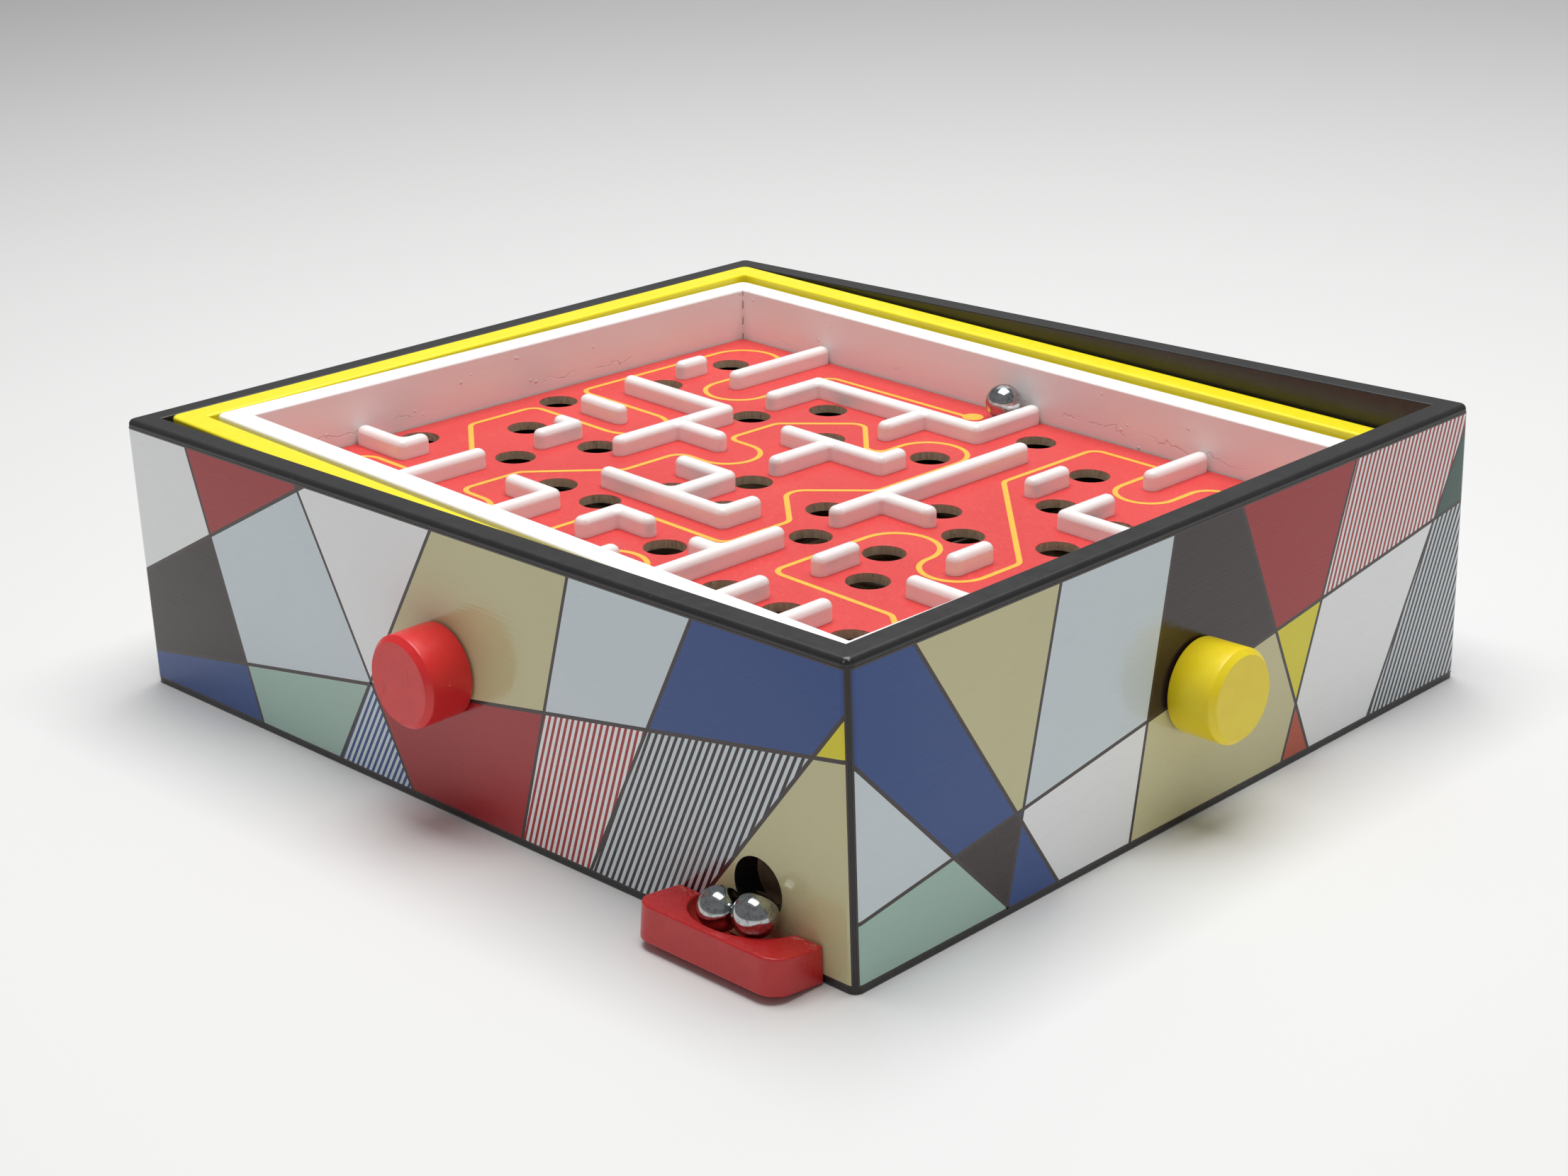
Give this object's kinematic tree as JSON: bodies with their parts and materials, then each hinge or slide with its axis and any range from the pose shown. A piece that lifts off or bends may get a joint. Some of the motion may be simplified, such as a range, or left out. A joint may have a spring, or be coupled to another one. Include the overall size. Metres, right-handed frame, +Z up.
{
  "type": "tilt maze game",
  "caption": "Tabletop tilt maze: a box with two nested tilting frames, a holed maze board, side knobs that tilt it, and a ball return with a tray.",
  "frame": {"origin": "centre of the box's underside, on the surface that it stands on", "axes": "+X to the player's right, towards the side knob; -Y to the player, where the front knob and the ball tray are; +Z up"},
  "size_m": [0.3469, 0.3052, 0.0942],
  "materials": {
    "box_panel": "black-stained board with a glossy printed film outside",
    "hardboard": "bare brown hardboard",
    "yellow_paint": "satin yellow paint on wood",
    "white_paint": "satin white paint on wood",
    "board_red": "satin red paint on fibreboard",
    "wall_white": "glossy white moulded strips",
    "knob_red": "glossy red paint on turned wood",
    "knob_yellow": "glossy yellow paint on turned wood",
    "tray_red": "red paint on wood, scuffed at the edges",
    "steel": "plain steel wire and rod",
    "ball_steel": "polished steel",
    "cord": "waxed twisted cord"
  },
  "bodies": {
    "box": {"front_panel": "box_panel", "back_panel": "box_panel", "left_panel": "box_panel", "right_panel": "box_panel", "base_panel": "hardboard", "ball_return_floor": "hardboard", "ball_tray": "tray_red", "outer_pivot_pin_front": "steel", "outer_pivot_pin_back": "steel", "left_guide_eye": "steel", "right_guide_eye": "steel", "front_guide_eye": "steel", "back_guide_eye": "steel", "outer_drive_cord": "cord", "inner_drive_cord": "cord"},
    "outer_frame": {"outer_frame_front_rail": "yellow_paint", "outer_frame_back_rail": "yellow_paint", "outer_frame_left_rail": "yellow_paint", "outer_frame_right_rail": "yellow_paint", "inner_pivot_pin_left": "steel", "inner_pivot_pin_right": "steel", "outer_cord_spring": "steel"},
    "inner_frame": {"inner_frame_front_rail": "white_paint", "inner_frame_back_rail": "white_paint", "inner_frame_left_rail": "white_paint", "inner_frame_right_rail": "white_paint", "maze_board": "board_red", "maze_wall_01": "wall_white", "maze_wall_02": "wall_white", "maze_wall_03": "wall_white", "maze_wall_04": "wall_white", "maze_wall_05": "wall_white", "maze_wall_06": "wall_white", "maze_wall_07": "wall_white", "maze_wall_08": "wall_white", "maze_wall_09": "wall_white", "maze_wall_10": "wall_white", "maze_wall_11": "wall_white", "maze_wall_12": "wall_white", "maze_wall_13": "wall_white", "maze_wall_14": "wall_white", "maze_wall_15": "wall_white", "maze_wall_16": "wall_white", "maze_wall_17": "wall_white", "maze_wall_18": "wall_white", "maze_wall_19": "wall_white", "maze_wall_20": "wall_white", "maze_wall_21": "wall_white", "maze_wall_22": "wall_white", "maze_wall_23": "wall_white", "inner_cord_spring": "steel"},
    "front_knob": {"front_knob": "knob_red", "front_shaft": "steel", "front_shaft_collar": "steel"},
    "side_knob": {"side_knob": "knob_yellow", "side_shaft": "steel", "side_shaft_collar": "steel"},
    "board_ball": {"board_ball": "ball_steel"},
    "tray_ball_left": {"tray_ball_left": "ball_steel"},
    "tray_ball_right": {"tray_ball_right": "ball_steel"}
  },
  "joints": [
    {"name": "outer_frame_tilt", "type": "hinge", "parent": "box", "child": "outer_frame", "pos_m": [0, 0, 0.075], "axis": [0, 1, 0], "range_deg": [-7.8, 3.2], "deforming": ["outer_drive_cord"]},
    {"name": "inner_frame_tilt", "type": "hinge", "parent": "outer_frame", "child": "inner_frame", "pos_m": [0, 0, 0.075], "axis": [0.9992, 0, -0.0401], "range_deg": [-4.4, 5.6], "deforming": ["inner_drive_cord"]},
    {"name": "front_knob_turn", "type": "hinge", "parent": "box", "child": "front_knob", "pos_m": [0, 0, 0.0485], "axis": [0, 1, 0], "range_deg": [-391, 161]},
    {"name": "side_knob_turn", "type": "hinge", "parent": "box", "child": "side_knob", "pos_m": [0, 0, 0.0425], "axis": [1, 0, 0], "range_deg": [-172, 219]},
    {"name": "board_ball_lift", "type": "slide", "parent": "inner_frame", "child": "board_ball", "axis": [0, 0, 1], "range_m": [0, 0.03]},
    {"name": "tray_ball_left_lift", "type": "slide", "parent": "box", "child": "tray_ball_left", "axis": [0, 0, 1], "range_m": [0, 0.03]},
    {"name": "tray_ball_right_lift", "type": "slide", "parent": "box", "child": "tray_ball_right", "axis": [0, 0, 1], "range_m": [0, 0.03]}
  ],
  "couplings": [
    {"joint": "front_knob_turn", "follows": "outer_frame_tilt", "ratio": 50.1},
    {"joint": "side_knob_turn", "follows": "inner_frame_tilt", "ratio": 39}
  ]
}
